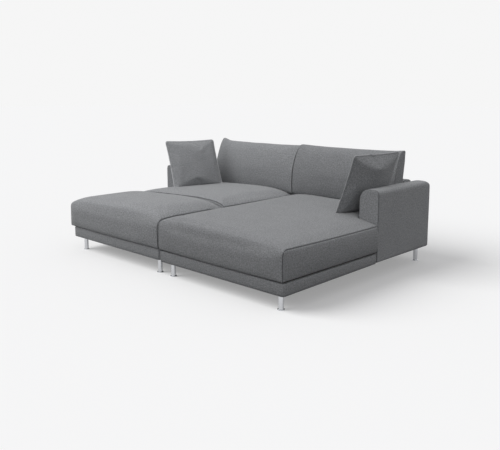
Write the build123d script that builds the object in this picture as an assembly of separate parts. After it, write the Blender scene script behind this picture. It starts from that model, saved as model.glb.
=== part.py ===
from build123d import *
import math
import os

# A modular sofa: a seat unit with a left arm, a chaise unit with a right arm, and a free-standing
# ottoman that closes the corner in front of the seat unit. Millimetres. The origin is on the floor
# under the middle of the footprint, +Z is up, the sofa faces -Y and +X is to the right of someone
# who looks at its front.

# Plan sizes of the three units
chaise_width = 1186.0
seat_unit_width = 1164.0
sofa_depth = 1750.0
ottoman_depth = 651.0
arm_width = 162.0
arm_depth = 742.0
back_thickness = 145.0
unit_gap = 4.0

# Heights above the floor
leg_height = 120.0
platform_height = 83.0
arm_top = 640.0
seat_seam_height = 398.0

# Clearances
soft_gap = 0.3
cushion_gap = 0.5
hole_clearance = 0.2
overrun = 10.0

# Padded border round each platform, and the timber frame in it
border_thickness = 12.0
border_corner_radius = 20.0
border_edge_radius = 4.0
rail_thickness = 30.0
rail_height = 66.0
corner_block_size = 90.0
cross_rail_thickness = 24.0
cross_rail_height = 50.0
strap_width = 60.0
strap_thickness = 1.6
strap_pitch = 118.0
dust_cover_thickness = 1.5

# Legs: a mounting plate, a tube and a foot disc
leg_inset_x = 75.0
leg_inset_y = 68.0
leg_diameter = 34.0
leg_wall = 2.0
leg_plate_size = 58.0
leg_plate_thickness = 4.0
leg_screw_spacing = 42.0
foot_diameter = 47.0
foot_thickness = 6.0
foot_edge_radius = 1.5
foot_spigot_height = 14.0

# Wood screws and frame bolts
screw_diameter = 4.5
screw_length = 18.0
screw_head_diameter = 9.0
screw_head_height = 2.6
bolt_diameter = 8.0
bolt_head_diameter = 18.0
bolt_head_height = 4.0
bolt_grip = 45.0

# Arms and back panels: padding over a frame of boards
padding_thickness = 14.0
arm_outer_radius = 26.0
arm_inner_radius = 80.0
arm_front_radius = 6.0
rear_top_radius = 64.0
rear_corner_radius = 22.0
back_front_radius = 30.0
board_thickness = 18.0
bottom_board_thickness = 22.0
side_board_thickness = 4.0

# Connectors under the joint between the seat unit and the chaise
tongue_width = 40.0
tongue_thickness = 4.0
tongue_reach = 52.0
receiver_wall = 3.0
receiver_flange = 22.0

# Seat cushions
seat_crown = 46.0
seat_front_radius = 56.0
seat_front_bottom_radius = 42.0
seat_meeting_radius = 30.0
seat_rear_radius = 20.0
seat_front_bulge = 5.0
seat_front_draw = 8.0
seam_radius = 9.0
cover_thickness = 6.0

# Back cushions, as a profile seen from the side
back_cushion_depth = 115.0
back_cushion_top_depth = 97.0
back_cushion_top = 872.0
back_cushion_rear_drop = 18.0
back_cushion_overhang = 24.0
back_cushion_lean = 5.0
back_cushion_bulge = 24.0
back_cushion_top_bulge = 7.0
back_cushion_radius = 38.0
back_cushion_rear_radius = 26.0
back_cushion_draw = 13.0
back_core_joint_rise = 6.0

# Throw pillows: tip to tip size, thickness, and how each one leans on its arm
pillow_size = 463.0
pillow_thickness = 140.0
pillow_edge_draw = 13.0
pillow_sag = 3.0
pillow_tip_radius = 9.0
pillow_belly_radius = 95.0
right_pillow_from_arm = 166.0
right_pillow_ahead_of_arm = 43.0
right_pillow_turn = -7.7
right_pillow_lean = 21.4
left_pillow_from_arm = 94.5
left_pillow_ahead_of_arm = 100.0
left_pillow_turn = 17.0
left_pillow_lean = 26.0

# Sections of a cushion along its length, as shares of the length from its middle line
section_shares = (0.03, 0.08, 0.18, 0.33, 0.5, 0.67, 0.82, 0.92, 0.97)
# A rounded seam edge: how far along and how far in, as shares of the seam radius
seam_round_shares = ((0.0, 1.0), (0.29, 0.29), (1.0, 0.0))
# A pillow's sections: height over its middle plane, inset of its outline, and roundness
pillow_section_shares = (
    (1.0, 0.72, 1.0),
    (0.93, 0.56, 0.8),
    (0.78, 0.36, 0.55),
    (0.55, 0.17, 0.3),
    (0.27, 0.05, 0.1),
)
# Places along a pillow's lower edge where it has to clear the seat, as shares of that edge
pillow_foot_shares = (0.0, 0.25, 0.5, 0.75, 1.0)
# Places of the parts that repeat, as shares of the stretch that holds them
front_cross_rail_shares = (0.15, 0.75)
rear_cross_rail_share = 0.5
arm_upright_share = 0.62
back_upright_shares = (0.25, 0.5, 0.75)
connector_shares = (0.3, 0.75)

# Places worked out from the sizes above
sofa_width = chaise_width + seat_unit_width
right_side = sofa_width / 2
left_side = -sofa_width / 2
front_side = -sofa_depth / 2
rear_side = sofa_depth / 2
split_x = right_side - chaise_width
ottoman_rear = front_side + ottoman_depth
arm_front = rear_side - arm_depth
back_front = rear_side - back_thickness
platform_top = leg_height + platform_height
frame_bottom = leg_height + leg_plate_thickness
rail_top = frame_bottom + rail_height
inner_inset = border_thickness + rail_thickness


class Unit:
    """One unit of the sofa: its name, its cell in plan, and the sides that meet other units."""

    def __init__(self, name, left, right, front, rear, arm_side, meets):
        self.name, self.arm_side = name, arm_side
        self.cell = (left, right, front, rear)
        half = unit_gap / 2
        self.left = left + half * ("left" in meets)
        self.right = right - half * ("right" in meets)
        self.front = front + half * ("front" in meets)
        self.rear = rear - half * ("rear" in meets)
        self.meets_front = "front" in meets

    def arm_inner(self):
        """X of the arm's inner face."""
        return self.right - arm_width if self.arm_side > 0 else self.left + arm_width

    def arm_outer(self):
        return self.right if self.arm_side > 0 else self.left

    def back_ends(self):
        """Left and right ends of the back panel."""
        if self.arm_side > 0:
            return self.left, self.arm_inner()
        return self.arm_inner(), self.right

    def platform(self):
        """Corners of the platform, anticlockwise: it steps in beside the arm."""
        front_corners = [(self.left, self.front), (self.right, self.front)]
        if not self.arm_side:
            return front_corners + [(self.right, self.rear), (self.left, self.rear)]
        inner = self.arm_inner()
        step = [(self.arm_outer(), arm_front), (inner, arm_front), (inner, back_front)]
        if self.arm_side > 0:
            return front_corners + step + [(self.left, back_front)]
        return front_corners + [(self.right, back_front)] + step[::-1]

    def legs(self):
        """Centres of the four legs."""
        xs = (self.left + leg_inset_x, self.right - leg_inset_x)
        ys = (self.front + leg_inset_y, self.rear - leg_inset_y)
        return [(x, y) for y in ys for x in xs]


chaise = Unit("chaise", split_x, right_side, front_side, rear_side, 1, ("left",))
seat_unit = Unit("left", left_side, split_x, ottoman_rear, rear_side, -1, ("right", "front"))
ottoman = Unit("ottoman", left_side, split_x, front_side, ottoman_rear, 0, ("right", "rear"))
units = (chaise, seat_unit, ottoman)


# Shapes that every unit uses


def inset(points, distance):
    """Corners of a square-cornered outline, moved inwards by a distance."""
    moved = []
    for i, (x, y) in enumerate(points):
        (ax, ay), (bx, by) = points[i - 1], points[(i + 1) % len(points)]
        before = math.hypot(x - ax, y - ay)
        after = math.hypot(bx - x, by - y)
        nx = -(y - ay) / before - (by - y) / after
        ny = (x - ax) / before + (bx - x) / after
        moved.append((x + nx * distance, y + ny * distance))
    return moved


def prism(points, bottom, top):
    """An upright prism over a plan outline."""
    return Pos(0, 0, bottom) * extrude(make_face(Polyline(*points, close=True)), top - bottom)


def block(x0, x1, y0, y1, z0, z1):
    """A box between two corners."""
    return Pos((x0 + x1) / 2, (y0 + y1) / 2, (z0 + z1) / 2) * Box(abs(x1 - x0), abs(y1 - y0), abs(z1 - z0))


def rod(start, direction, diameter, length):
    """A round rod from a point along a direction."""
    plane = Plane(origin=start, z_dir=direction)
    return extrude(plane * Circle(diameter / 2), length)


def band(points, outer_inset, thickness, bottom, top):
    """A frame round an outline, as one mitred length for each side."""
    outer = inset(points, outer_inset)
    inner = inset(points, outer_inset + thickness)
    count = len(points)
    sides = [[outer[i], outer[(i + 1) % count], inner[(i + 1) % count], inner[i]] for i in range(count)]
    return [prism(side, bottom, top) for side in sides]


def section(corners, radii, bulges, plane):
    """A closed face of rounded corners and straight or bowed sides, on a plane."""
    count = len(corners)
    starts, ends, middles = [], [], []
    for i in range(count):
        here = Vector(*corners[i])
        before = (Vector(*corners[i - 1]) - here).normalized()
        after = (Vector(*corners[(i + 1) % count]) - here).normalized()
        half = math.radians(before.get_angle(after)) / 2
        reach = radii[i] / math.tan(half)
        bisector = (before + after).normalized()
        starts.append(here + before * reach)
        ends.append(here + after * reach)
        middles.append(here + bisector * (radii[i] / math.sin(half) - radii[i]))
    edges = []
    for i in range(count):
        following = (i + 1) % count
        if radii[i]:
            edges.append(ThreePointArc(starts[i], middles[i], ends[i]))
        a, b = ends[i], starts[following]
        if bulges[i]:
            along = (b - a).normalized()
            outward = Vector(along.Y, -along.X)
            edges.append(ThreePointArc(a, (a + b) / 2 + outward * bulges[i], b))
        else:
            edges.append(Line(a, b))
    return plane * make_face(Curve() + edges)


def drill(solids, tools):
    """The solids with every tool that reaches them cut out."""
    drilled = []
    for solid in solids:
        box = solid.bounding_box()
        near = [t for t in tools if box.overlaps(t.bounding_box())]
        drilled.append(solid - near if near else solid)
    return drilled


# Legs, screws and bolts


def screw_places(unit):
    """Heads' undersides of the wood screws: four in each leg plate, and those of the connectors."""
    half = leg_screw_spacing / 2
    corners = [(a * half, b * half) for a in (-1, 1) for b in (-1, 1)]
    places = [(x + dx, y + dy, leg_height) for x, y in unit.legs() for dx, dy in corners]
    return places + connector_screw_places(unit)


def screws(unit):
    made = []
    for x, y, z in screw_places(unit):
        shank = rod((x, y, z), (0, 0, 1), screw_diameter, screw_length)
        made.append(shank + rod((x, y, z), (0, 0, -1), screw_head_diameter, screw_head_height))
    return made


def screw_holes(unit):
    size = screw_diameter + 2 * hole_clearance
    return [rod(place, (0, 0, 1), size, screw_length + hole_clearance) for place in screw_places(unit)]


def leg_plates(unit):
    half = leg_plate_size / 2
    plates = [
        block(x - half, x + half, y - half, y + half, leg_height, frame_bottom) for x, y in unit.legs()
    ]
    return drill(plates, screw_holes(unit))


def leg_tubes(unit):
    ring = Circle(leg_diameter / 2) - Circle(leg_diameter / 2 - leg_wall)
    tube = extrude(ring, leg_height - foot_thickness)
    return [Pos(x, y, foot_thickness) * tube for x, y in unit.legs()]


def foot_discs(unit):
    disc = extrude(Circle(foot_diameter / 2), foot_thickness)
    disc = fillet(disc.edges().group_by(Axis.Z)[-1], foot_edge_radius)
    spigot_radius = leg_diameter / 2 - leg_wall - hole_clearance
    spigot = extrude(Circle(spigot_radius), foot_thickness + foot_spigot_height)
    return [Pos(x, y, 0) * (disc + spigot) for x, y in unit.legs()]


def bolts_and_holes(unit):
    """The bolts that hold the arm and the back panel to the platform, and their holes."""
    height = frame_bottom + bottom_board_thickness + bolt_head_diameter / 2
    side = unit.arm_side
    through = rail_thickness + border_thickness
    starts = [((unit.arm_inner() - side * through, y, height), (side, 0, 0)) for y in arm_bolt_places()]
    starts += [((x, back_front - through, height), (0, 1, 0)) for x in back_upright_places(unit)]
    length = through + padding_thickness + bolt_grip
    made, holes = [], []
    for start, way in starts:
        back = tuple(-w for w in way)
        head = rod(start, back, bolt_head_diameter, bolt_head_height)
        made.append(rod(start, way, bolt_diameter, length) + head)
        holes.append(rod(start, way, bolt_diameter + 2 * hole_clearance, length + hole_clearance))
    return made, holes


# Platforms


def border(unit):
    """Padded border of the platform, one piece a side, with rounded corners and edges."""
    outline = make_face(Polyline(*unit.platform(), close=True))
    outline = fillet(outline.vertices(), border_corner_radius)
    whole = Pos(0, 0, leg_height) * extrude(outline, platform_height)
    layers = whole.edges().group_by(Axis.Z)
    whole = fillet(layers[0] + layers[-1], border_edge_radius)
    sides = band(unit.platform(), 0, border_thickness, leg_height, platform_top)
    return [side & whole for side in sides]


def frame_rails(unit):
    return band(unit.platform(), border_thickness, rail_thickness, frame_bottom, rail_top)


def span_at(unit, y):
    """Left and right of the platform at a depth."""
    if unit.arm_side and y > arm_front:
        return unit.back_ends()
    return unit.left, unit.right


def cross_rail_places(unit):
    """Y of each cross rail: two in front, clear of the corner blocks, and one between arm and split."""
    margin = inner_inset + corner_block_size + cross_rail_thickness / 2
    start = unit.front + margin
    end = arm_front - cross_rail_thickness / 2 if unit.arm_side else unit.rear - margin
    places = [start + share * (end - start) for share in front_cross_rail_shares]
    if unit.arm_side:
        places.append(arm_front + rear_cross_rail_share * (back_front - arm_front))
    return places


def cross_rails(unit):
    made = []
    for y in cross_rail_places(unit):
        left, right = span_at(unit, y + inner_inset)
        half = cross_rail_thickness / 2
        bottom = rail_top - cross_rail_height
        made.append(block(left + inner_inset, right - inner_inset, y - half, y + half, bottom, rail_top))
    return made


def corner_blocks(unit):
    """Glued blocks over the legs that stand under the platform."""
    reach = inner_inset + corner_block_size
    made = []
    ys = [(unit.front + inner_inset, unit.front + reach)]
    if not unit.arm_side:
        ys.append((unit.rear - reach, unit.rear - inner_inset))
    for y0, y1 in ys:
        made.append(block(unit.left + inner_inset, unit.left + reach, y0, y1, frame_bottom, rail_top))
        made.append(block(unit.right - reach, unit.right - inner_inset, y0, y1, frame_bottom, rail_top))
    return made


def spread(start, end):
    """Evenly spaced places for straps between two ends."""
    count = max(1, round((end - start) / strap_pitch))
    return [start + (i + 1) * (end - start) / (count + 1) for i in range(count)]


def webbing(unit):
    """Elastic straps on the rails: one layer front to back and one layer across."""
    hold = border_thickness + rail_thickness / 2
    rear = back_front if unit.arm_side else unit.rear
    half = strap_width / 2
    left, right = span_at(unit, rear)
    low, middle, high = rail_top, rail_top + strap_thickness, rail_top + 2 * strap_thickness
    straps = [
        block(x - half, x + half, unit.front + hold, rear - hold, low, middle)
        for x in spread(left + hold, right - hold)
    ]
    for y in spread(unit.front + hold, rear - hold):
        x0, x1 = span_at(unit, y + half + hold)
        straps.append(block(x0 + hold, x1 - hold, y - half, y + half, middle, high))
    return straps


def deck_pad(unit):
    """Felt pad that covers the webbing, level with the top of the border."""
    return [prism(inset(unit.platform(), border_thickness), rail_top + 2 * strap_thickness, platform_top)]


def dust_cover(unit):
    """Black cloth under the frame, cut out round the leg plates."""
    bottom = frame_bottom - dust_cover_thickness
    sheets = [prism(inset(unit.platform(), border_thickness), bottom, frame_bottom)]
    if unit.arm_side:
        arm_sheet = prism(arm_plan(unit, padding_thickness), bottom, frame_bottom)
        sheets.append(arm_sheet & arm_form(unit, padding_thickness))
        sheets.append(prism(back_plan(unit, padding_thickness), bottom, frame_bottom))
    half = leg_plate_size / 2 + hole_clearance
    cuts = [
        block(x - half, x + half, y - half, y + half, leg_height, frame_bottom) for x, y in unit.legs()
    ]
    return drill(sheets, cuts + screw_holes(unit))


# Connectors: a tongue under the seat unit slides sideways into a receiver under the chaise


def connector_places():
    """Y of each connector."""
    return [seat_unit.front + share * (back_front - seat_unit.front) for share in connector_shares]


def connector_screw_places(unit):
    """Undersides of the heads of the two screws in each connector."""
    inner = border_thickness + rail_thickness / 2
    if unit is seat_unit:
        x, side, height = unit.right - inner, tongue_width / 4, leg_height - tongue_thickness
    elif unit is chaise:
        side = receiver_half_width() + receiver_flange / 2
        x, height = unit.left + inner, leg_height - receiver_wall
    else:
        return []
    return [(x, y + s * side, height) for y in connector_places() for s in (-1, 1)]


def receiver_half_width():
    return tongue_width / 2 + cushion_gap + receiver_wall


def connector_tongues():
    half = tongue_width / 2
    root = seat_unit.right - inner_inset
    tip = chaise.left + tongue_reach
    top, bottom = leg_height, leg_height - tongue_thickness
    tongues = [block(root, tip, y - half, y + half, bottom, top) for y in connector_places()]
    return drill(tongues, screw_holes(seat_unit))


def connector_receivers():
    """Flanged channels, open upwards against the rail, that the tongues slide into."""
    made = []
    x0, x1 = chaise.left, chaise.left + tongue_reach
    floor = leg_height - tongue_thickness - cushion_gap
    half = receiver_half_width()
    reach = half + receiver_flange
    slot = half - receiver_wall
    for y in connector_places():
        channel = block(x0, x1, y - half, y + half, floor - receiver_wall, leg_height)
        flange = block(x0, x1, y - reach, y + reach, leg_height - receiver_wall, leg_height)
        way = block(x0 - overrun, x1 + overrun, y - slot, y + slot, floor, leg_height + overrun)
        made.append(channel + flange - way)
    return drill(made, screw_holes(chaise))


# Arms and back panels


def arm_plan(unit, depth):
    """Plan corners of the arm, inset by a depth."""
    x0, x1 = sorted((unit.arm_inner(), unit.arm_outer()))
    return inset([(x0, arm_front), (x1, arm_front), (x1, rear_side), (x0, rear_side)], depth)


def back_plan(unit, depth):
    """Plan corners of the back panel, inset by a depth."""
    x0, x1 = unit.back_ends()
    return inset([(x0, back_front), (x1, back_front), (x1, rear_side), (x0, rear_side)], depth)


def arm_form(unit, depth):
    """The arm's form: its front, side and plan outlines cut through each other."""
    x0, x1 = sorted((unit.arm_inner(), unit.arm_outer()))
    left_radius, right_radius = (arm_inner_radius, arm_outer_radius)[:: unit.arm_side]
    top = arm_top - depth
    bottom = leg_height - overrun * bool(depth)
    corners = [(x0 + depth, bottom), (x1 - depth, bottom), (x1 - depth, top), (x0 + depth, top)]
    radii = [0, 0, right_radius - depth, left_radius - depth]
    straight = [0] * len(corners)
    form = extrude(section(corners, radii, straight, Plane.XZ), rear_side + overrun, both=True)
    y0, y1 = arm_front + depth, rear_side - depth
    corners = [(y0, bottom), (y1, bottom), (y1, top), (y0, top)]
    front_radius = max(arm_front_radius - depth, 0)
    radii = [0, 0, rear_top_radius - depth, front_radius]
    form &= extrude(section(corners, radii, straight, Plane.YZ), right_side + overrun, both=True)
    rear_radius = max(rear_corner_radius - depth, 0)
    rounds = [front_radius, front_radius, rear_radius, 0]
    if unit.arm_side < 0:
        rounds = [front_radius, front_radius, 0, rear_radius]
    plan = section(arm_plan(unit, depth), rounds, straight, Plane.XY.offset(bottom))
    return form & extrude(plan, arm_top)


def back_form(unit, depth):
    """The back panel's form: one side profile along its length."""
    x0, x1 = unit.back_ends()
    y0, y1 = back_front + depth, rear_side - depth
    top = arm_top - depth
    bottom = leg_height - overrun * bool(depth)
    corners = [(y0, bottom), (y1, bottom), (y1, top), (y0, top)]
    radii = [0, 0, rear_top_radius - depth, back_front_radius - depth]
    profile = section(corners, radii, [0] * len(corners), Plane.YZ.offset(x0 + depth))
    return extrude(profile, x1 - x0 - 2 * depth)


def arm_upright_places():
    """Y of the arm frame's uprights: front, middle and rear."""
    front = arm_front + padding_thickness + board_thickness / 2
    rear = rear_side - padding_thickness - board_thickness / 2
    middle = arm_front + arm_upright_share * (back_front - arm_front)
    return front, middle, rear


def arm_bolt_places():
    """The bolts go into the uprights that stand beside the platform."""
    return arm_upright_places()[:2]


def back_upright_places(unit):
    """X of the back frame's uprights."""
    x0, x1 = unit.back_ends()
    return [x0 + share * (x1 - x0) for share in back_upright_shares]


def arm_frame(unit, holes):
    """Boards inside the arm: bottom, top, three uprights and two thin side boards."""
    x0, x1 = sorted((unit.arm_inner(), unit.arm_outer()))
    x0, x1 = x0 + padding_thickness, x1 - padding_thickness
    y0, y1 = arm_front + padding_thickness, rear_side - padding_thickness
    low = frame_bottom + bottom_board_thickness
    top = arm_top - padding_thickness
    under_top = top - board_thickness
    boards = [block(x0, x1, y0, y1, frame_bottom, low), block(x0, x1, y0, y1, under_top, top)]
    inner0, inner1 = x0 + side_board_thickness, x1 - side_board_thickness
    half = board_thickness / 2
    for y in arm_upright_places():
        boards.append(block(inner0, inner1, y - half, y + half, low, under_top))
    side_top = arm_top - max(arm_inner_radius, rear_top_radius)
    boards.append(block(x0, inner0, y0, y1, low, side_top))
    boards.append(block(inner1, x1, y0, y1, low, side_top))
    cavity = arm_form(unit, padding_thickness)
    return drill([board & cavity for board in boards], holes)


def back_frame(unit, holes):
    """Boards inside the back panel: bottom, top and uprights."""
    x0, x1 = unit.back_ends()
    x0, x1 = x0 + padding_thickness, x1 - padding_thickness
    y0, y1 = back_front + padding_thickness, rear_side - padding_thickness
    low = frame_bottom + bottom_board_thickness
    top = arm_top - padding_thickness
    boards = [block(x0, x1, y0, y1, frame_bottom, low), block(x0, x1, y0, y1, top - board_thickness, top)]
    half = board_thickness / 2
    for x in back_upright_places(unit):
        boards.append(block(x - half, x + half, y0, y1, low, top - board_thickness))
    cavity = back_form(unit, padding_thickness)
    return drill([board & cavity for board in boards], holes)


# Cushions


def end_stations(length, radius):
    """Stations along a cushion: place from its start, inset at the seams, and share of the crown."""
    stations = [(share * radius, pull * radius, 0.0) for share, pull in seam_round_shares]
    for share in section_shares:
        stations.append((share * length, 0.0, 1 - abs(2 * share - 1) ** 5))
    stations += [(length - share * radius, pull * radius, 0.0) for share, pull in seam_round_shares[::-1]]
    return stations


def seat_form(unit, skin):
    """A seat cushion's form: a rounded side profile carried along X between boxed ends.

    The top is crowned both ways, the front bows out between drawn-in ends, and beside an arm the
    cushion stops at the arm's front and inner faces. A skin gives the filling inside the cover.
    """
    left, right, front, rear = unit.cell
    left, right = left + soft_gap + skin, right - soft_gap - skin
    front += soft_gap * unit.meets_front
    rear = back_front - cushion_gap if unit.arm_side else rear - soft_gap
    front_radius = seat_meeting_radius if unit.meets_front else seat_front_radius
    rear_radius = seat_rear_radius if unit.arm_side else seat_meeting_radius
    bottom = platform_top + soft_gap + skin
    sections = []
    for place, pull, crown in end_stations(right - left, seam_radius):
        trim = pull + skin
        y0 = front + trim + seat_front_bulge * crown + seat_front_draw * (1 - crown)
        y1 = rear - trim
        z0 = bottom + pull
        z1 = seat_seam_height - trim + seat_crown * crown / 2
        corners = [(y0, z0), (y1, z0), (y1, z1), (y0, z1)]
        low_front = seat_front_bottom_radius - trim
        low_rear = seat_rear_radius - trim / 2
        radii = [low_front, low_rear, rear_radius - trim, front_radius - trim]
        bulges = [0, 0, seat_crown * crown / 2, seat_front_bulge * (1 + crown) / 2]
        sections.append(section(corners, radii, bulges, Plane.YZ.offset(left + place)))
    form = loft(sections, ruled=True)
    if unit.arm_side:
        inner = unit.arm_inner() - unit.arm_side * (cushion_gap + skin)
        outer = unit.arm_outer() + unit.arm_side * overrun
        x0, x1 = sorted((inner, outer))
        top = seat_seam_height + seat_crown + overrun
        form -= block(x0, x1, arm_front - cushion_gap - skin, rear_side, leg_height, top)
    return form


def height_over(piece, x, y):
    """Height of a piece's top at a place in plan."""
    probe = rod((x, y, leg_height), (0, 0, 1), soft_gap, back_cushion_top)
    return (piece & probe).bounding_box().max.Z


def back_cushion_form(unit, seat, skin):
    """A back cushion: it stands on the seat cushion, leans on the back panel and overhangs its top."""
    x0, x1 = unit.back_ends()
    cell_left, cell_right = unit.cell[:2]
    if unit.arm_side > 0:
        x0, x1 = cell_left + soft_gap, x1 - cushion_gap
    else:
        x0, x1 = x0 + cushion_gap, cell_right - soft_gap
    rear = back_front - cushion_gap
    middle = (x0 + x1) / 2
    front = rear - back_cushion_depth
    bottom = height_over(seat, middle, front + back_cushion_radius) + soft_gap
    x0, x1 = x0 + skin, x1 - skin
    sections = []
    for place, pull, crown in end_stations(x1 - x0, back_cushion_draw):
        trim = pull + skin
        top_front = rear - back_cushion_top_depth + back_cushion_lean
        y0 = front + trim + back_cushion_draw * (1 - crown) / 2
        top_y0 = top_front + trim + back_cushion_draw * (1 - crown) / 2
        z0 = bottom + trim
        z1 = back_cushion_top - trim
        bend = (rear - trim, arm_top)
        rear_top = (rear + back_cushion_overhang - trim, z1 - back_cushion_rear_drop)
        corners = [(y0, z0), (rear - trim, z0), bend, rear_top, (top_y0, z1)]
        near, far = back_cushion_radius - trim, back_cushion_rear_radius - trim / 2
        bulges = [0, 0, 0, back_cushion_top_bulge * crown, back_cushion_bulge * (1 + 2 * crown) / 3]
        sections.append(section(corners, [near, far, 0, far, near], bulges, Plane.YZ.offset(x0 + place)))
    return loft(sections, ruled=True)


def back_cushion_slabs(core):
    """The foam as it is glued up: a firm lower slab, and a soft one that rolls over the back panel."""
    joint = Plane.XY.offset(arm_top + back_core_joint_rise)
    return [split(core, joint, keep=part) for part in (Keep.BOTTOM, Keep.TOP)]


def pillow_plane(tip, side, turn, lean):
    """Plane of a pillow that leans towards an arm: its origin is the front lower tip."""
    turn_angle, lean_angle = math.radians(turn), math.radians(lean)
    along = Vector(-side * math.sin(turn_angle), math.cos(turn_angle), 0)
    across = Vector(side * math.cos(turn_angle), math.sin(turn_angle), 0)
    up = across * math.sin(lean_angle) + Vector(0, 0, math.cos(lean_angle))
    return Plane(origin=tip, x_dir=along, z_dir=along.cross(up))


def pillow_form(plane, skin):
    """A throw pillow: pointed tips, drawn-in edges, a lower edge that sags and a full belly each way."""
    thickness = pillow_thickness - 2 * skin
    layers = list(pillow_section_shares) + [(0.0, 0.0, 0.0)]
    below = [(-height, pull, belly) for height, pull, belly in layers]
    above = [(height, pull, belly) for height, pull, belly in layers[-2::-1]]
    sections = []
    for height, pull, belly in below + above:
        edge = skin + pull * pillow_size / 2
        far = pillow_size - edge
        corners = [(edge, edge), (far, edge), (far, far), (edge, far)]
        span = far - edge
        radius = min(pillow_tip_radius + belly * (pillow_belly_radius - pillow_tip_radius), span / 3)
        bow = -pillow_edge_draw * (1 - belly)
        level = plane.offset(height * thickness / 2)
        sections.append(section(corners, [radius] * 4, [pillow_sag, bow, bow, bow], level))
    return loft(sections, ruled=True)


def pillow_places():
    """Name, unit, distance from the arm, distance ahead of it, turn and lean of each pillow."""
    right_place = (right_pillow_from_arm, right_pillow_ahead_of_arm, right_pillow_turn, right_pillow_lean)
    left_place = (left_pillow_from_arm, left_pillow_ahead_of_arm, left_pillow_turn, left_pillow_lean)
    return ("right", chaise) + right_place, ("left", seat_unit) + left_place


def pillow_plane_on(seat, unit, from_arm, ahead, turn, lean):
    """Plane of a pillow whose sagging lower edge just clears the seat cushion."""
    side = unit.arm_side
    x, y = unit.arm_inner() - side * from_arm, arm_front - ahead
    step_x = -side * pillow_size * math.sin(math.radians(turn))
    step_y = pillow_size * math.cos(math.radians(turn))
    heights = []
    for share in pillow_foot_shares:
        sag = pillow_sag * 4 * share * (1 - share)
        heights.append(height_over(seat, x + share * step_x, y + share * step_y) + sag)
    return pillow_plane((x, y, max(heights) + soft_gap), side, turn, lean)


# The nodes: one STEP file each


def unit_nodes(unit):
    name = unit.name
    holes = screw_holes(unit)
    bolts, bolt_holes = bolts_and_holes(unit) if unit.arm_side else ([], [])
    nodes = {
        f"{name}_base_border": drill(border(unit), bolt_holes),
        f"{name}_frame_rails": drill(frame_rails(unit), holes + bolt_holes),
        f"{name}_cross_rails": cross_rails(unit),
        f"{name}_corner_blocks": drill(corner_blocks(unit), holes),
        f"{name}_webbing": webbing(unit),
        f"{name}_deck_pad": deck_pad(unit),
        f"{name}_dust_cover": dust_cover(unit),
        f"{name}_leg_plates": leg_plates(unit),
        f"{name}_leg_tubes": leg_tubes(unit),
        f"{name}_foot_discs": foot_discs(unit),
        f"{name}_wood_screws": screws(unit),
    }
    if unit.arm_side:
        arm_shell = arm_form(unit, 0) - arm_form(unit, padding_thickness)
        back_shell = back_form(unit, 0) - back_form(unit, padding_thickness)
        nodes[f"{name}_arm_padding"] = drill([arm_shell], bolt_holes)
        nodes[f"{name}_arm_frame"] = arm_frame(unit, holes + bolt_holes)
        nodes[f"{name}_back_padding"] = drill([back_shell], bolt_holes)
        nodes[f"{name}_back_frame"] = back_frame(unit, holes + bolt_holes)
        nodes[f"{name}_frame_bolts"] = bolts
    return nodes


def cushion_nodes():
    nodes = {}
    seats = {unit: seat_form(unit, 0) for unit in units}
    for unit in units:
        filling = seat_form(unit, cover_thickness + soft_gap)
        nodes[f"{unit.name}_seat_cover"] = [seats[unit] - seat_form(unit, cover_thickness)]
        nodes[f"{unit.name}_seat_core"] = [filling]
    for unit in (chaise, seat_unit):
        whole, hollow, core = (back_cushion_form(unit, seats[unit], skin) for skin in skins())
        nodes[f"{unit.name}_back_cushion_cover"] = [whole - hollow]
        nodes[f"{unit.name}_back_cushion_core"] = back_cushion_slabs(core)
    for name, unit, *place in pillow_places():
        plane = pillow_plane_on(seats[unit], unit, *place)
        whole, hollow, core = (pillow_form(plane, skin) for skin in skins())
        nodes[f"{name}_pillow_cover"] = [whole - hollow]
        nodes[f"{name}_pillow_filling"] = [core]
    return nodes


def skins():
    """Depths of a cushion's outside, the inside of its cover, and its filling."""
    return 0, cover_thickness, cover_thickness + soft_gap


def all_nodes():
    nodes = {}
    for unit in units:
        nodes.update(unit_nodes(unit))
    nodes["connector_tongues"] = connector_tongues()
    nodes["connector_receivers"] = connector_receivers()
    nodes.update(cushion_nodes())
    return nodes


os.makedirs("parts", exist_ok=True)
for node, solids in all_nodes().items():
    pieces = [solid for shape in solids for solid in shape.solids()]
    export_step(Compound(children=pieces), f"parts/{node}.step")
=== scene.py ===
import math

import bmesh
import bpy
from mathutils import Matrix, Vector, noise
from mathutils.bvhtree import BVHTree


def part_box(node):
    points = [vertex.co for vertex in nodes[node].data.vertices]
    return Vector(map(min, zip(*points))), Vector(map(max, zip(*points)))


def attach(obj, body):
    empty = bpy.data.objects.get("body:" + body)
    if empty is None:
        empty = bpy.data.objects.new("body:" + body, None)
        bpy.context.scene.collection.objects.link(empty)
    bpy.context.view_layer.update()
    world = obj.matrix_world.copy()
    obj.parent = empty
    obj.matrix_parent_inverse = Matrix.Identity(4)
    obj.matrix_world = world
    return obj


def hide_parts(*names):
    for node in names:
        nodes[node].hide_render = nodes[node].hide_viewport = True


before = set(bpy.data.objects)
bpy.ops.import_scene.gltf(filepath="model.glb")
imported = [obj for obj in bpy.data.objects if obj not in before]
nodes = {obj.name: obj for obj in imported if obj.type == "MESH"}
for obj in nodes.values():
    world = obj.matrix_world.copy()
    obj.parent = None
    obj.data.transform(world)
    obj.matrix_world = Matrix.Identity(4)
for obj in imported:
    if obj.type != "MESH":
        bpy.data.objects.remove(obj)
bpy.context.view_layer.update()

# The sofa's cloth, padding, metal and timber finishes, built round its fixed frame. Metres.

unit_bodies = {"chaise": "chaise_unit", "left": "seat_unit", "ottoman": "ottoman_unit"}

# Camera: the photograph is 500 by 450 pixels
image_width = 500
image_middle_row = 225
lens_row = 190
focal_length_in_pixels = 626.0
sensor_width_mm = 36.0
camera_place = (3.518, -3.580, 1.300)
camera_turn = 0.7687
camera_tilt = 0.1511

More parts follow.
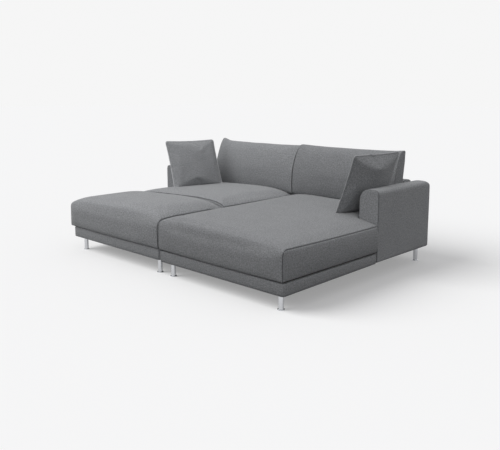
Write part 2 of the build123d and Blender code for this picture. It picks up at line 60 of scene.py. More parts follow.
# Light
backdrop_level = 0.92
key_strength = 1.68
key_spread = math.radians(84)
key_place = (-0.10, -0.33, 0.94)
floor_sun_strength = 3.05
floor_sun_spread = math.radians(44)
floor_sun_place = (-0.81, -0.95, 1.0)
sky_level = 0.37
sky_blue = 1.02
right_fill_strength = 0.36
right_fill_spread = math.radians(60)
right_fill_place = (0.65, -0.10, 0.75)
side_lamp_place = (-2.6, -3.0, 2.2)
side_lamp_aim = (0.0, 0.0, 0.4)
side_lamp_size = 1.6
side_lamp_power = 30.0
floor_reach = 60.0
floor_drop = 0.0004
floor_bounce_level = 0.16
floor_glow_share = 0.31

# Upholstery: each noise is its lumps a metre, detail and roughness
upholstery_colours = ((0.150, 0.1545, 0.161), (0.348, 0.354, 0.363))
upholstery_surface = {
    "Roughness": 0.92,
    "Sheen Weight": 0.18,
    "Sheen Roughness": 0.45,
    "Specular IOR Level": 0.25,
}
upholstery_noises = {
    "flecks": (620, 3, 0.7),
    "mottle": (75, 3, 0.65),
    "clumps": (130, 2, 0.6),
    "broad": (7, 2, 0.5),
}
slub_noise = (1.0, 2, 0.6)
slub_stretches = {"slubs across": (22.0, 240.0, 1.0), "slubs along": (240.0, 22.0, 1.0)}
shade_shares = {
    "flecks": 0.9,
    "slubs across": 0.55,
    "slubs along": 0.55,
    "mottle": 0.9,
    "clumps": 1.9,
    "broad": 0.22,
    "threads": 0.22,
}
relief_shares = {"threads": 0.7, "flecks": 0.5, "slubs across": 0.35, "slubs along": 0.35}
thread_pitch = 0.0013
relief_depth = 0.0006
relief_strength = 0.55
# Painted shade: seams and the grooves where cushions meet are darkened toward this near-black colour,
# by this share, on top of their real sunk lines
seam_painted_shade_colour = (0.035, 0.037, 0.041)
seam_painted_shade_share = 0.9
# Painted highlight: the pillows' sewn lips are paled toward this colour, by this share
lip_highlight_colour = (0.80, 0.81, 0.83)
lip_highlight_share = 0.55
# Painted shade: a darker copy of the cloth, at this tone, on the pieces listed, for the light that
# falls off toward the sofa's right end
painted_shade_tone = 0.87
painted_shade_pieces = ("chaise_seat_cushion", "chaise_platform_border", "right_back_cushion")

# Flat technical cloths: dark and light colour, thread pitch, roughness and depth of relief
flat_cloths = {
    "elastic_webbing": ((0.012, 0.011, 0.010), (0.05, 0.046, 0.042), 0.003, 0.8, 0.0006),
    "grey_felt": ((0.035, 0.035, 0.038), (0.085, 0.085, 0.09), 0.006, 0.95, 0.0008),
    "black_dust_cloth": ((0.006, 0.006, 0.006), (0.02, 0.02, 0.02), 0.0016, 0.85, 0.0003),
}
fibre_lumps_a_thread = 0.6
fibre_detail = (3, 0.7)
fibre_share = 0.6
flat_relief_strength = 0.5

# Metals and timber: a roughness is its least and what noise adds, a relief its depth and strength
chrome_colour = (0.60, 0.61, 0.63)
chrome_marks = (160, 3, 0.6)
chrome_mark_stretch = (1.0, 1.0, 0.15)
chrome_roughness = (0.07, 0.10)
chrome_grain = (900, 2)
chrome_relief = (0.0001, 0.05)
steel_colours = ((0.46, 0.47, 0.48), (0.66, 0.67, 0.68))
steel_spangle = (220, 3, 0.6)
steel_roughness = (0.25, 0.25)
steel_grain = (1500, 2)
steel_relief = (0.0001, 0.15)
timber_colours = ((0.62, 0.44, 0.25), (0.44, 0.28, 0.14))
timber_bend_lumps = 3.0
timber_rings_sideways = 260
timber_rings_upward = 900
timber_ring_bend = 26
timber_pores = (1.0, 3, 0.7)
timber_pore_stretch = (60.0, 60.0, 700.0)
timber_ring_shade = 0.55
timber_ring_relief = 0.4
timber_roughness = (0.45, 0.25)
timber_relief = (0.0003, 0.4)

# Cloth forms: a seam is its width and depth, and an unevenness its height and size
cloth_pitch = 0.024
cushion_seam = (0.0052, 0.0095)
panel_seam = (0.003, 0.003)
fine_lumps = 3
clearance = 0.0006

# Cloth trial: cloth that swells under pressure, without gravity
trial_frames = 20
trial_settings = {
    "quality": 5,
    "mass": 0.3,
    "tension_stiffness": 12,
    "compression_stiffness": 12,
    "shear_stiffness": 6,
    "bending_stiffness": 0.4,
    "use_pressure": True,
}
seat_pressure = 4.0
back_pressure = 5.0
pillow_pressure = 1.2
pillow_furthest = 0.2

# Seat cushions: a slope, roll or edge is its width and height, the press its reach and width
seat_seam_height = 0.398
seat_split_height = {"chaise": 0.419, "left": 0.443, "ottoman": 0.443}
seat_crown = {"chaise": 0.040, "left": 0.040, "ottoman": 0.043}
seat_outer_fullness = {"chaise": 2.5, "left": 5.0, "ottoman": 5.0}
seat_inner_fullness = {"chaise": 6.0, "left": 3.2, "ottoman": 3.2}
meeting_slopes = {"left": (0.14, 0.003), "ottoman": (0.20, 0.033)}
split_slopes = {"chaise": (0.03, 0.0), "left": (0.12, 0.012), "ottoman": (0.12, 0.012)}
seat_rear_dip = {"chaise": 0.016, "left": 0.024, "ottoman": 0.0}
seat_rear_press = (0.190, 0.100)
seat_front_crown_share = 0.62
seat_front_edge_share = 0.55
seat_arc_power = 4
seat_end_power = 8
seat_hem_share = 0.25
seat_roll = {"chaise": (0.022, 0.005), "left": (0.042, 0.010), "ottoman": (0.042, 0.012)}
seat_front_radius = 0.040
seat_bottom_radius = 0.007
seat_rear_radius = 0.020
seat_corner_radius = 0.024
seat_sharp_corner_radius = 0.012
seat_front_proud = {"chaise": 0.006, "left": 0.006, "ottoman": 0.012}
seat_end_proud = 0.042
seat_end_bulge = 0.012
seat_front_sag = 0.006
seat_skirt_drop = {"chaise": 0.011, "left": 0.0, "ottoman": 0.002}
crisp_edge = (0.011, 0.008)
edge_lines = (0.009, 0.022, 0.038)
seat_seam_sag = 0.009
seat_swell = 0.009
seat_unevenness = (0.0016, 0.22)

# Back cushions: an end is its thickness at the foot, its fullness and its taper
back_thickness_foot = 0.126
back_fullness = 0.010
back_taper = 0.084
back_ends = {"left": (0.104, 0.016, 0.074), "chaise": (0.124, 0.010, 0.066)}
back_radius = 0.042
back_foot_radius = 0.034
back_rear_radius = 0.032
back_overhang = 0.034
back_top = {"left": 0.856, "chaise": 0.866}
back_ear = {"left": 0.020, "chaise": 0.006}
back_ear_share = 0.16
back_swell = 0.012
back_unevenness = (0.002, 0.2)
back_cloth_pitch = 0.8 * cloth_pitch
back_crown_power = 4

# Throw pillows
pillow_side = 0.500
pillow_finished_side = 0.490
pillow_sink = 0.006
pillow_pitch = 0.0105
pillow_half_thickness = 0.080
pillow_seam_thickness = 0.005
pillow_lip = 0.009
pillow_lip_thinning = 0.8
pillow_waist = 0.040
pillow_ear_radius = 0.026
pillow_frames = 50
right_pillow_turn = math.radians(-7.7)
right_pillow_lean = math.radians(21.4)
left_pillow_turn = math.radians(17.0)
left_pillow_lean = math.radians(26.0)

# Arms, back panels and platform borders
arm_inner_radius = 0.080
arm_outer_radius = 0.026
arm_top_rear_radius = 0.064
arm_rear_corner_radius = 0.022
panel_front_radius = 0.030
padding_unevenness = (0.003, 0.3)
border_thickness = 0.012
weld_distance = 0.00001
border_corner_radius = 0.020
border_edge_radius = 0.012
border_corner_steps = 5
edge_steps = 3
square_edge_cosine = 0.5
border_sag = 0.004
border_drop = {"chaise": 0.010, "left": 0.0, "ottoman": 0.004}
border_drop_end = 0.15
border_bulge = {"chaise": 0.0, "left": 0.0, "ottoman": 0.014}
pad_edge_radius = 0.002
pad_edge_angle = 1.0
flat_angle = math.radians(1)

# Sides of a form
LEFT, RIGHT, FRONT, REAR, BOTTOM, TOP = range(1, 7)

# One metre straight up
upward = Vector((0, 0, 1))

# A mix node's sockets for colours, by number
first_colour, second_colour, mixed_colour = 6, 7, 2


# Shapes


class Span:
    """The box of a CAD node."""

    def __init__(self, name):
        low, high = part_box(name)
        self.left, self.front, self.bottom = low
        self.right, self.rear, self.top = high

    def centre(self):
        return Vector((self.left + self.right, self.front + self.rear, self.bottom + self.top)) / 2


def clamp(number, low=0.0, high=1.0):
    return max(low, min(high, number))


def blend(share, first, second):
    """A number between two others."""
    return first + (second - first) * share


def arch(share):
    """A curve that is 1 in the middle and 0 at both ends."""
    return 4 * share * (1 - share)


def eased(share):
    """A share from 0 to 1 that starts and stops gently."""
    return share * share * (3 - 2 * share)


def slab(xs, ys, bottom, top, notch=None):
    """A closed slab over a plan of cells, without those in a notch that runs to the rear."""
    def free(i, j):
        x, y = (xs[i] + xs[i + 1]) / 2, (ys[j] + ys[j + 1]) / 2
        return notch and notch[0] < x < notch[1] and y > notch[2]

    form = bmesh.new()
    corners = {}
    for i, x in enumerate(xs):
        for j, y in enumerate(ys):
            corners[i, j] = form.verts.new((x, y, bottom))
    for i in range(len(xs) - 1):
        for j in range(len(ys) - 1):
            if not free(i, j):
                cell = (i, j), (i, j + 1), (i + 1, j + 1), (i + 1, j)
                form.faces.new([corners[place] for place in cell])
    loose = [vert for vert in form.verts if not vert.link_faces]
    bmesh.ops.delete(form, geom=loose, context="VERTS")
    raise_slab(form, top - bottom)
    return form


def raise_slab(form, height):
    """Makes a closed body of a flat form."""
    raised = bmesh.ops.extrude_face_region(form, geom=form.faces[:])["geom"]
    lifted = [item for item in raised if isinstance(item, bmesh.types.BMVert)]
    bmesh.ops.translate(form, vec=(0, 0, height), verts=lifted)
    bmesh.ops.recalc_face_normals(form, faces=form.faces)


def main_axis(face):
    """The axis that a face looks along most."""
    return max(range(3), key=lambda i: abs(face.normal[i]))


def lay_cloth(form):
    """Smooth shading, and cloth coordinates in metres from the way that each face looks."""
    cloth = form.loops.layers.uv.new("cloth")
    form.normal_update()
    for face in form.faces:
        face.smooth = True
        axis = main_axis(face)
        across, along = [i for i in range(3) if i != axis]
        for loop in face.loops:
            loop[cloth].uv = (loop.vert.co[across], loop.vert.co[along])


def divide(form, pitch):
    """Cuts a square-cornered form into even quads and marks each face with the side it lies on."""
    for axis in range(3):
        groups = {}
        for edge in form.edges:
            run = edge.verts[1].co - edge.verts[0].co
            if abs(run[axis]) > run.length / 2:
                groups.setdefault(round(run.length / pitch), []).append(edge)
        for count, edges in groups.items():
            if count > 1:
                bmesh.ops.subdivide_edges(form, edges=edges, cuts=count - 1, use_grid_fill=True)
    side = form.faces.layers.int.new("side")
    lay_cloth(form)
    for face in form.faces:
        axis = main_axis(face)
        face[side] = 2 * axis + (LEFT if face.normal[axis] < 0 else RIGHT)


def sides_of(item, form):
    """The sides whose faces a vertex or edge touches."""
    side = form.faces.layers.int["side"]
    return {face[side] for face in item.link_faces}


def mark_seams(form, *panels):
    """Marks the outline of the named panels as a seam."""
    for edge in form.edges:
        sides = sides_of(edge, form)
        edge.seam = len(sides) == 2 and len(sides & set(panels)) == 1


def on_seam(vert):
    """Whether a vertex lies on a marked seam."""
    return any(edge.seam for edge in vert.link_edges)


def held_cloth(form):
    """The vertices of a cushion that don't swell: its underside, its rear and its seams."""
    return [vert for vert in form.verts if sides_of(vert, form) & {BOTTOM, REAR} or on_seam(vert)]


def place_all(form, place):
    """Moves every vertex of a form to where a function puts it."""
    for vert in form.verts:
        vert.co = place(*vert.co)


def rounded(a, b, edge_a, edge_b, way_a, way_b, radius):
    """Moves a point in the square beside an outer corner into the quarter disc that rounds it off."""
    u = 1 - way_a * (edge_a - a) / radius
    v = 1 - way_b * (edge_b - b) / radius
    if min(u, v) <= 0:
        return a, b
    new_u = u * math.sqrt(1 - v * v / 2)
    new_v = v * math.sqrt(1 - u * u / 2)
    return edge_a - way_a * radius * (1 - new_u), edge_b - way_b * radius * (1 - new_v)


def ripple(form, unevenness, sides, seed):
    """Slight unevenness of stuffed cloth on some sides, in wide and fine lumps, but not on seams."""
    height, size = unevenness
    form.normal_update()
    moves = []
    for vert in form.verts:
        if sides_of(vert, form) <= sides and not on_seam(vert):
            lump = noise.noise(vert.co / size + Vector((seed, seed, seed)))
            fine = noise.noise(vert.co * fine_lumps / size - Vector((seed, 0, seed)))
            moves.append((vert, vert.normal * height * (lump + fine / fine_lumps)))
    for vert, move in moves:
        vert.co += move


def crease_seams(form, seam):
    """Turns every marked seam into a narrow sunk line, which the seam attribute darkens further with
    painted shade.
    """
    width, depth = seam
    shaded = form.verts.layers.float.new("seam")
    seams = [edge for edge in form.edges if edge.seam]
    made = bmesh.ops.bevel(
        form, geom=seams, offset=width, offset_type="OFFSET", affect="EDGES",
        segments=2, profile=0.5, material=-1, clamp_overlap=True, loop_slide=True,
    )
    strip = set(made["faces"])
    form.normal_update()
    middle = [v for v in made["verts"] if v.link_faces and all(face in strip for face in v.link_faces)]
    moves = [(vert, vert.normal * depth) for vert in middle]
    for vert, move in moves:
        vert.co -= move
        vert[shaded] = 1
    for face in strip:
        face.smooth = True


def new_piece(name, form):
    """An object of a finished form, with its place in its mesh."""
    mesh = bpy.data.meshes.new(name)
    form.to_mesh(mesh)
    form.free()
    piece = bpy.data.objects.new(name, mesh)
    bpy.context.scene.collection.objects.link(piece)
    return piece


def inflate(form, held, pressure, cap, frames=trial_frames, half_thickness=None):
    """Swells a form as stuffed cloth until its frames are over or it is thick enough.

    Held vertices stay, and no other moves further than the cap.
    """
    form.verts.index_update()
    piece = new_piece("cloth_trial", form.copy())
    group = piece.vertex_groups.new(name="held")
    group.add([vert.index for vert in held], 1.0, "REPLACE")
    cloth = piece.modifiers.new("Cloth", "CLOTH")
    if held:
        cloth.settings.vertex_group_mass = "held"
    for setting, given in trial_settings.items():
        setattr(cloth.settings, setting, given)
    cloth.settings.uniform_pressure_force = pressure
    cloth.settings.effector_weights.gravity = 0
    cloth.point_cache.frame_start = 1
    cloth.point_cache.frame_end = frames
    scene = bpy.context.scene
    for step in range(1, frames + 1):
        scene.frame_set(step)
        swollen = piece.evaluated_get(bpy.context.evaluated_depsgraph_get()).data
        if half_thickness and max(vert.co.z for vert in swollen.vertices) > half_thickness:
            break
    for vert, moved in zip(form.verts, swollen.vertices):
        shift = moved.co - vert.co
        if shift.length > cap:
            shift *= cap / shift.length
        vert.co += shift
    scene.frame_set(1)
    bpy.data.objects.remove(piece)


def keep_inside(form, span):
    """Holds a form between the four sides of a span and over its bottom."""
    for vert in form.verts:
        vert.co.x = clamp(vert.co.x, span.left, span.right)
        vert.co.y = clamp(vert.co.y, span.front, span.rear)
        vert.co.z = max(vert.co.z, span.bottom)


def surface_of(piece):
    """A piece's finished surface, to keep its neighbours clear of it."""
    return BVHTree.FromObject(piece, bpy.context.evaluated_depsgraph_get())


def keep_above(form, surface):
    """Lifts what lies under a surface to just above it."""
    for vert in form.verts:
        hit = surface.ray_cast(vert.co + upward, -upward)[0]
        if hit and vert.co.z < hit.z + clearance:
            vert.co.z = hit.z + clearance


def keep_off(form, surface):
    """Pushes what lies in or too near a closed surface out to just off it."""
    for vert in form.verts:
        left_through = surface.ray_cast(vert.co, upward)[1]
        near, normal, _, distance = surface.find_nearest(vert.co)
        if distance < clearance or left_through and left_through.z > 0:
            vert.co = near + normal * clearance


# Finishes


class Value:
    """A value that varies over a surface; arithmetic on it adds the nodes that work it out."""

    def __init__(self, finish, socket):
        self.finish, self.socket = finish, socket

    def combined(self, operation, *terms):
        return self.finish.node("ShaderNodeMath", {"operation": operation}, dict(enumerate(terms)))

    def __add__(self, other):
        return self.combined("ADD", self, other)

    def __sub__(self, other):
        return self.combined("SUBTRACT", self, other)

    def __mul__(self, other):
        return self.combined("MULTIPLY", self, other)

    def sine(self):
        return self.combined("SINE", self)

    def at_least(self, other):
        return self.combined("MAXIMUM", self, other)

    __radd__ = __add__


class Finish:
    """A material in the making."""

    def __init__(self, name, surface):
        self.material = bpy.data.materials.new(name)
        self.material.use_nodes = True
        self.tree = self.material.node_tree
        self.shader = self.tree.nodes["Principled BSDF"]
        for socket, given in surface.items():
            self.shader.inputs[socket].default_value = given

    def node(self, kind, settings=None, inputs=None, output=0):
        """Adds a node, with values or numbers at its inputs, and gives the value of one output."""
        made = self.tree.nodes.new(kind)
        for name, setting in (settings or {}).items():
            setattr(made, name, setting)
        for name, given in (inputs or {}).items():
            if isinstance(given, Value):
                self.tree.links.new(given.socket, made.inputs[name])
            else:
                made.inputs[name].default_value = given
        return Value(self, made.outputs[output])

    def drive(self, socket, value):
        self.tree.links.new(value.socket, self.shader.inputs[socket])

    def cloth_place(self):
        """Place on the flat cloth, in metres."""
        return self.node("ShaderNodeUVMap", {"uv_map": "cloth"})

    def object_place(self):
        return self.node("ShaderNodeTexCoord", output="Object")

    def split(self, vector):
        axes = self.node("ShaderNodeSeparateXYZ", {}, {0: vector})
        outputs = axes.socket.node.outputs
        return [Value(self, outputs[i]) for i in range(3)]

    def stretched(self, vector, scale):
        return self.node("ShaderNodeMapping", {}, {"Vector": vector, "Scale": scale})

    def speckle(self, vector, scale, detail=2.0, roughness=0.5):
        """Noise from 0 to 1 at a number of lumps a metre."""
        inputs = {"Vector": vector, "Scale": scale, "Detail": detail, "Roughness": roughness}
        return self.node("ShaderNodeTexNoise", {}, inputs)

    def between(self, share, first, second):
        """A colour between two others."""
        inputs = {"Factor": share, first_colour: first, second_colour: second}
        for name, colour in inputs.items():
            if isinstance(colour, (tuple, list)):
                inputs[name] = (*colour, 1)
        return self.node("ShaderNodeMix", {"data_type": "RGBA"}, inputs, output=mixed_colour)

    def roughen(self, value, roughness):
        """Roughness from its least value upward, as a value says."""
        least, addition = roughness
        self.drive("Roughness", value * addition + least)

    def bump(self, height, distance, strength):
        inputs = {"Height": height, "Distance": distance, "Strength": strength}
        self.drive("Normal", self.node("ShaderNodeBump", {}, inputs))


def weave(finish, place, pitch):
    """Height of a plain weave of round threads, 0 to 1."""
    across, along, _ = finish.split(place)
    warp = (across * (math.pi / pitch)).sine()
    weft = (along * (math.pi / pitch)).sine()
    return warp * weft * 0.5 + 0.5


def upholstery_finish(name, tone):
    """Cool grey melange upholstery: fine weave, flecked yarn and faint slubs both ways.

    The seam attribute paints shade toward 1, in a seam or a groove where cushions meet, and paints a
    highlight toward -1, on a lip.
    """
    finish = Finish(name, upholstery_surface)
    place = finish.cloth_place()
    layers = {"threads": weave(finish, place, thread_pitch)}
    for layer, look in upholstery_noises.items():
        layers[layer] = finish.speckle(place, *look)
    for layer, stretch in slub_stretches.items():
        layers[layer] = finish.speckle(finish.stretched(place, stretch), *slub_noise)
    shade = sum((layers[layer] - 0.5) * share for layer, share in shade_shares.items())
    relief = sum(layers[layer] * share for layer, share in relief_shares.items())
    # A tone below 1 darkens the whole cloth as painted shade
    dark, light = ([tone * part for part in colour] for colour in upholstery_colours)
    cloth = finish.between(shade + 0.5, dark, light)
    in_seam = finish.node("ShaderNodeAttribute", {"attribute_name": "seam"}, output=2)
    # Painted shade in seams and grooves where the attribute is above 0, and a painted highlight on
    # pillow lips where it is below 0
    cloth_with_seam_shade = finish.between(in_seam.at_least(0.0) * seam_painted_shade_share, cloth, seam_painted_shade_colour)
    lip_highlight = (in_seam * -lip_highlight_share).at_least(0.0)
    finish.drive("Base Color", finish.between(lip_highlight, cloth_with_seam_shade, lip_highlight_colour))
    finish.bump(relief, relief_depth, relief_strength)
    return finish.material


def chrome_finish():
    """Polished chrome with faint wipe marks."""
    finish = Finish("polished_chrome", {"Metallic": 1.0, "Base Color": (*chrome_colour, 1)})
    place = finish.object_place()
    marks = finish.speckle(finish.stretched(place, chrome_mark_stretch), *chrome_marks)
    finish.roughen(marks, chrome_roughness)
    finish.bump(finish.speckle(place, *chrome_grain), *chrome_relief)
    return finish.material


def steel_finish():
    """Zinc-plated steel, slightly mottled."""
    finish = Finish("zinc_plated_steel", {"Metallic": 1.0})
    place = finish.object_place()
    spangle = finish.speckle(place, *steel_spangle)
    finish.drive("Base Color", finish.between(spangle, *steel_colours))
    finish.roughen(spangle, steel_roughness)
    finish.bump(finish.speckle(place, *steel_grain), *steel_relief)
    return finish.material


def timber_finish():
    """Planed softwood with growth rings and small pores."""
    finish = Finish("planed_softwood", {})
    place = finish.object_place()
    bent = finish.speckle(place, timber_bend_lumps)
    across, along, up = finish.split(place)
    turns = (across + along) * timber_rings_sideways + up * timber_rings_upward
    rings = (turns + bent * timber_ring_bend).sine() * 0.5 + 0.5
    pores = finish.speckle(finish.stretched(place, timber_pore_stretch), *timber_pores)
    shade = rings * timber_ring_shade + pores * (1 - timber_ring_shade)
    relief = rings * timber_ring_relief + pores * (1 - timber_ring_relief)
    finish.drive("Base Color", finish.between(shade, *timber_colours))
    finish.roughen(pores, timber_roughness)
    finish.bump(relief, *timber_relief)
    return finish.material


def flat_cloth_finish(name, dark, light, pitch, roughness, depth):
    """A flat technical cloth: woven tape, felt or non-woven, by its pitch and colours."""
    finish = Finish(name, {"Roughness": roughness})
    place = finish.object_place()
    threads = weave(finish, place, pitch)
    fibres = finish.speckle(place, fibre_lumps_a_thread / pitch, *fibre_detail)
    shade = threads * (1 - fibre_share) + fibres * fibre_share
    finish.drive("Base Color", finish.between(shade, dark, light))
    finish.bump((threads + fibres) * 0.5, depth, flat_relief_strength)
    return finish.material


upholstery = upholstery_finish("grey_upholstery", 1.0)
# The second copy of the cloth is darkened as painted shade
painted_shade_upholstery = upholstery_finish("grey_upholstery_painted_shade", painted_shade_tone)
chrome = chrome_finish()
steel = steel_finish()
timber = timber_finish()
webbing, felt, dust_cloth = (flat_cloth_finish(name, *look) for name, look in flat_cloths.items())

finish_by_ending = {
    "_leg_tubes": chrome,
    "_foot_discs": chrome,
    "_leg_plates": steel,
    "_wood_screws": steel,
    "_frame_bolts": steel,
    "_tongues": steel,
    "_receivers": steel,
    "_frame_rails": timber,
    "_cross_rails": timber,
    "_corner_blocks": timber,
    "_arm_frame": timber,
    "_back_frame": timber,
    "_webbing": webbing,
    "_deck_pad": felt,
    "_dust_cover": dust_cloth,
}
for node_name, node in nodes.items():
    for ending, finish in finish_by_ending.items():
        if node_name.endswith(ending):
            for slot in node.material_slots:
                slot.material = finish


def dressed(name, form, finish, body, replaced):
    """A piece in one finish that rides on a body and stands for its plain solids."""
    piece = new_piece(name, form)
    piece.data.materials.append(finish)
    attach(piece, body)
    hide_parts(*replaced)
    return piece


def upholstered(name, form, body, replaced, smooth=True):
    """A padded piece in the sofa's cloth, with its surface smoothed where that is asked for."""
    # Listed pieces get the copy of the cloth darkened as painted shade
    finish = painted_shade_upholstery if name in painted_shade_pieces else upholstery
    piece = dressed(name, form, finish, body, replaced)
    if smooth:
        surface = piece.modifiers.new("Smooth", "SUBSURF")
        surface.levels = surface.render_levels = 1
    return piece


# Seat cushions


def edge_drop(distance, groove):
    """How far a rounded edge has dropped at a distance from the edge."""
    width, height = groove
    return height * (1 - math.sqrt(1 - (1 - clamp(distance / width)) ** 2))


def slope_drop(distance, slope):
    """How far a surface has fallen at a distance from the edge that it slopes down to."""
    width, height = slope
    return height * (1 - clamp(distance / width)) ** 2


def plan_lines(low, high):
    """Lines across a cushion's plan, closer together at its edges."""
    return [low, high] + [low + line for line in edge_lines] + [high - line for line in edge_lines]


class SeatCushion:
    """A boxed foam cushion with a rounded front, a crowned top and seams round its end panels.

    Its outer end is the sofa's own end, and the other one is at the split between the two rows.
    Where it meets another cushion of its row, at the front or the rear, its top edge is crisp.
    """

    def __init__(self, unit, outer, meets):
        self.unit, self.outer, self.meets = unit, outer, meets
        self.way = 1 if outer == RIGHT else -1
        self.span = Span(f"{unit}_seat_cover")
        self.left, self.right = self.span.left, self.span.right
        self.front, self.rear = self.span.front, self.span.rear
        if unit == "ottoman":
            self.left -= seat_end_proud
        if meets != FRONT:
            self.front -= seat_front_proud[unit]
        self.end = self.right if outer == RIGHT else self.left
        self.corner_radius = seat_sharp_corner_radius if outer == RIGHT else seat_corner_radius
        self.edges = [seat_split_height[unit], seat_split_height[unit]]
        self.edges[outer == RIGHT] = seat_seam_height

    def plan(self):
        """Lines of the cushion's plan and the notch that it leaves for the arm."""
        xs, ys = plan_lines(self.left, self.right), plan_lines(self.front, self.rear)
        if self.unit == "ottoman":
            return sorted(xs), sorted(ys), None
        arm = Span(f"{self.unit}_arm_padding")
        inner = arm.left - clearance if self.outer == RIGHT else arm.right + clearance
        side = (inner, self.right) if self.outer == RIGHT else (self.left, inner)
        ahead = arm.front - clearance
        return sorted(xs + [inner]), sorted(ys + [ahead]), (*side, ahead)

    def rise(self, share, depth, from_end):
        """Height of the top over the seam height at a place in plan."""
        edge = blend(share, *self.edges) - seat_seam_height
        outward = (2 * share - 1) * self.way
        fullness = seat_outer_fullness if outward > 0 else seat_inner_fullness
        crown = 1 - abs(outward) ** fullness[self.unit]
        arc = 1 - abs(2 * depth - 1) ** seat_arc_power
        if self.meets == FRONT and depth < 0.5 or self.meets == REAR and depth > 0.5:
            arc = 1
        crest = seat_crown[self.unit] * crown * blend(arc, seat_front_crown_share, 1)
        roll_width, roll_height = seat_roll[self.unit]
        roll = 1 - (1 - clamp(from_end / roll_width)) ** 2
        press_reach, press_width = seat_rear_press
        press = clamp((press_reach - (1 - depth) * (self.rear - self.front)) / press_width)
        dip = seat_rear_dip[self.unit] * eased(press)
        outer_share = share if self.outer == RIGHT else 1 - share
        sag = seat_seam_sag * arch(depth) * outer_share ** seat_end_power
        return edge * blend(arc, seat_front_edge_share, 1) + crest + roll_height * roll - sag - dip

    def groove_drop(self, x, y):
        """How far the top falls toward the edges that meet the next units."""
        from_split = x - self.left if self.outer == RIGHT else self.right - x
        slope = slope_drop(from_split, split_slopes[self.unit])
        if not self.meets:
            return edge_drop(from_split, crisp_edge) + slope
        from_next = y - self.front if self.meets == FRONT else self.rear - y
        slope += slope_drop(from_next, meeting_slopes[self.unit])
        return edge_drop(min(from_split, from_next), crisp_edge) + slope

    def place(self, x, y, z):
        """Where a point of the plain slab lies on the finished cushion."""
        bottom, top = self.span.bottom, seat_seam_height
        share = (x - self.left) / (self.right - self.left)
        depth = clamp((y - self.front) / (self.rear - self.front))
        level = (z - bottom) / (top - bottom)
        from_end = min(x - self.left, self.right - x)
        rise = self.rise(share, depth, from_end) - self.groove_drop(x, y)
        hem = max(0.0, 1 - level / seat_hem_share)
        skirt = seat_skirt_drop[self.unit] * hem
        sag = 0.0
        if self.meets != FRONT:
            over = clamp(1 - (y - self.front) / border_thickness)
            sag = seat_front_sag * arch(share) * hem * over
            y, z = rounded(y, z, self.front, top, -1, 1, seat_front_radius)
            if y < self.front + clearance:
                sag += skirt
            y, z = rounded(y, z, self.front, bottom, -1, -1, seat_bottom_radius)
        if self.meets != REAR:
            y, z = rounded(y, z, self.rear, top, 1, 1, seat_rear_radius)
        if from_end < clearance:
            outward = -1 if share < 0.5 else 1
            if outward == self.way and (self.meets == FRONT or y > self.front):
                sag += skirt
            x += outward * seat_end_bulge * arch(level) * (1 - (2 * depth - 1) ** seat_end_power)
        x, y = rounded(x, y, self.end, self.front, self.way, -1, self.corner_radius)
        x, z = rounded(x, z, self.end, bottom, self.way, -1, seat_bottom_radius)
        return x, y, z + level * rise - sag

    def limits(self):
        """The room that the swollen cushion may take up."""
        room = Span(f"{self.unit}_seat_cover")
        if self.outer == RIGHT:
            room.right += seat_end_bulge
        else:
            room.left -= seat_end_proud + seat_end_bulge
        if self.meets != FRONT:
            room.front -= seat_front_proud[self.unit] + seat_swell
        room.bottom -= seat_front_sag + seat_skirt_drop[self.unit]
        return room

    def build(self):
        xs, ys, notch = self.plan()
        form = slab(xs, ys, self.span.bottom, seat_seam_height, notch)
        divide(form, cloth_pitch)
        mark_seams(form, LEFT, RIGHT, self.meets)
        place_all(form, self.place)
        inflate(form, held_cloth(form), seat_pressure, seat_swell)
        ripple(form, seat_unevenness, {TOP, FRONT}, len(self.unit))
        keep_inside(form, self.limits())
        crease_seams(form, cushion_seam)
        covered = (f"{self.unit}_seat_cover", f"{self.unit}_seat_core")
        return upholstered(f"{self.unit}_seat_cushion", form, f"{self.unit}_seat", covered)


seat_pieces = {
    "chaise": SeatCushion("chaise", RIGHT, None).build(),
    "left": SeatCushion("left", LEFT, FRONT).build(),
    "ottoman": SeatCushion("ottoman", LEFT, REAR).build(),
}


# Arms and back panels


def padded_block(name, unit, span, place, seam_panels, swollen, replaced):
    """An upholstered block over a frame of boards, shaped by a placing function."""
    form = slab([span.left, span.right], [span.front, span.rear], span.bottom, span.top)
    divide(form, cloth_pitch)
    mark_seams(form, *seam_panels)
    place_all(form, place)
    ripple(form, padding_unevenness, swollen, len(name))
    crease_seams(form, panel_seam)
    return upholstered(name, form, unit_bodies[unit], [replaced])


def build_arm(unit, outer):
    """An arm: tight side panels, a soft rounded top and a front panel sewn in all round."""
    span = Span(f"{unit}_arm_padding")
    inner_edge, outer_edge = (span.left, span.right) if outer == RIGHT else (span.right, span.left)
    way = 1 if outer == RIGHT else -1

    def place(x, y, z):
        x, z = rounded(x, z, inner_edge, span.top, -way, 1, arm_inner_radius)
        x, z = rounded(x, z, outer_edge, span.top, way, 1, arm_outer_radius)
        y, z = rounded(y, z, span.rear, span.top, 1, 1, arm_top_rear_radius)
        x, y = rounded(x, y, outer_edge, span.rear, way, 1, arm_rear_corner_radius)
        return x, y, z

    swollen = {TOP, FRONT, outer}
    return padded_block(f"{unit}_arm", unit, span, place, [FRONT], swollen, f"{unit}_arm_padding")


def build_back_panel(unit):
    """A back panel: one length of padding with rounded top edges."""
    span = Span(f"{unit}_back_padding")

    def place(x, y, z):
        y, z = rounded(y, z, span.rear, span.top, 1, 1, arm_top_rear_radius)
        y, z = rounded(y, z, span.front, span.top, -1, 1, panel_front_radius)
        return x, y, z

    name, covered = f"{unit}_back_panel", f"{unit}_back_padding"
    padded_block(name, unit, span, place, [LEFT, RIGHT], {REAR}, covered)


arms = {unit: build_arm(unit, outer) for unit, outer in (("chaise", RIGHT), ("left", LEFT))}
for unit in arms:
    build_back_panel(unit)


# Platform borders


